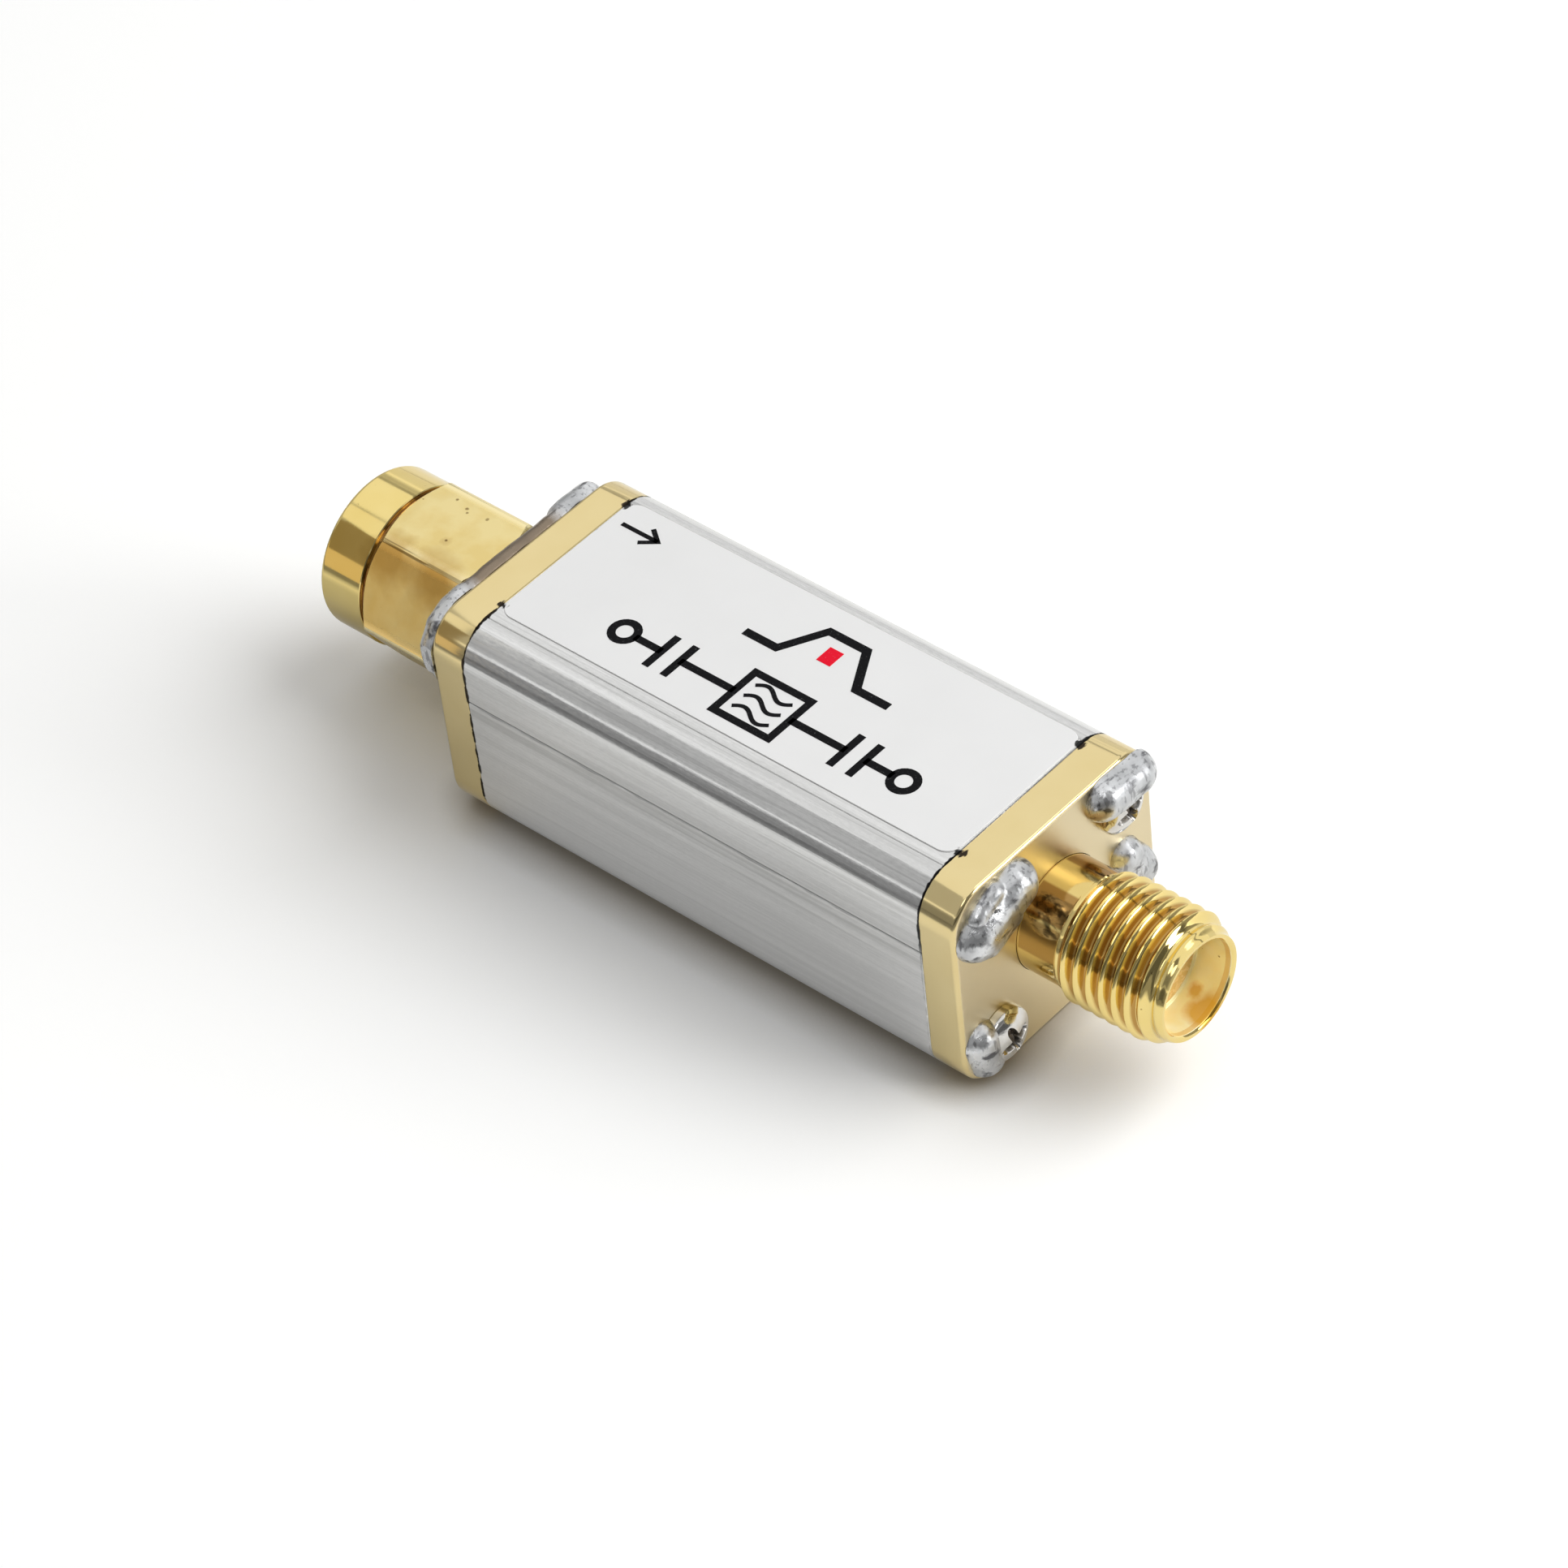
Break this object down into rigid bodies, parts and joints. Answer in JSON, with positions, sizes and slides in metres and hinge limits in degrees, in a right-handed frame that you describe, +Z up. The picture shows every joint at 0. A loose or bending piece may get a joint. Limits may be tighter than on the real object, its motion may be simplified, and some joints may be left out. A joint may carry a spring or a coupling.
{
  "type": "rf bandpass filter",
  "caption": "Inline coaxial band-pass filter: square aluminium body between gold end plates, threaded female port at one end, male port with turning hex nut at the other.",
  "frame": {"origin": "centre of the housing's flat underside", "axes": "+X along the signal path towards the female port, +Z up through the label face"},
  "size_m": [0.0492, 0.0134, 0.0117],
  "materials": {
    "extruded_aluminium": "drawn, with fine lines along its length",
    "label_film": "matte white film",
    "plate_gold": "satin gold plating",
    "connector_gold": "polished gold plating",
    "contact_gold": "polished gold plating",
    "screw_steel": "bright nickel plating",
    "solder": "shiny tin solder",
    "ring_bronze": "spring bronze",
    "gasket_rubber": "matte silicone",
    "insulator_amber": "amber polyetherimide, slightly clear",
    "board_laminate": "glass-epoxy laminate with solder mask",
    "board_copper": "gold-flashed copper",
    "package_ceramic": "matte dark ceramic",
    "package_lid": "gold-plated lid",
    "inductor_body": "coated ceramic chip",
    "capacitor_body": "fired ceramic chip"
  },
  "bodies": {
    "filter": {"housing": "extruded_aluminium", "label": "label_film", "plug_end_plate": "plate_gold", "jack_end_plate": "plate_gold", "plug_plate_screws": "screw_steel", "jack_plate_screws": "screw_steel", "plug_plate_solder": "solder", "jack_plate_solder": "solder", "plug_body": "connector_gold", "plug_retaining_ring": "ring_bronze", "plug_gasket": "gasket_rubber", "plug_insulator": "insulator_amber", "plug_center_pin": "contact_gold", "jack_body": "connector_gold", "jack_insulator": "insulator_amber", "jack_center_contact": "contact_gold", "filter_board": "board_laminate", "board_tracks": "board_copper", "board_ground_plane": "board_copper", "saw_filter_base": "package_ceramic", "saw_filter_lid": "package_lid", "matching_inductors": "inductor_body", "matching_capacitors": "capacitor_body", "plug_pin_solder": "solder", "jack_pin_solder": "solder"},
    "coupling_nut": {"plug_coupling_nut": "connector_gold"}
  },
  "joints": [
    {"name": "coupling_nut_spin", "type": "hinge", "parent": "filter", "child": "coupling_nut", "pos_m": [-0.0214, 0, 0.0061], "axis": [1, 0, 0], "continuous": true}
  ]
}
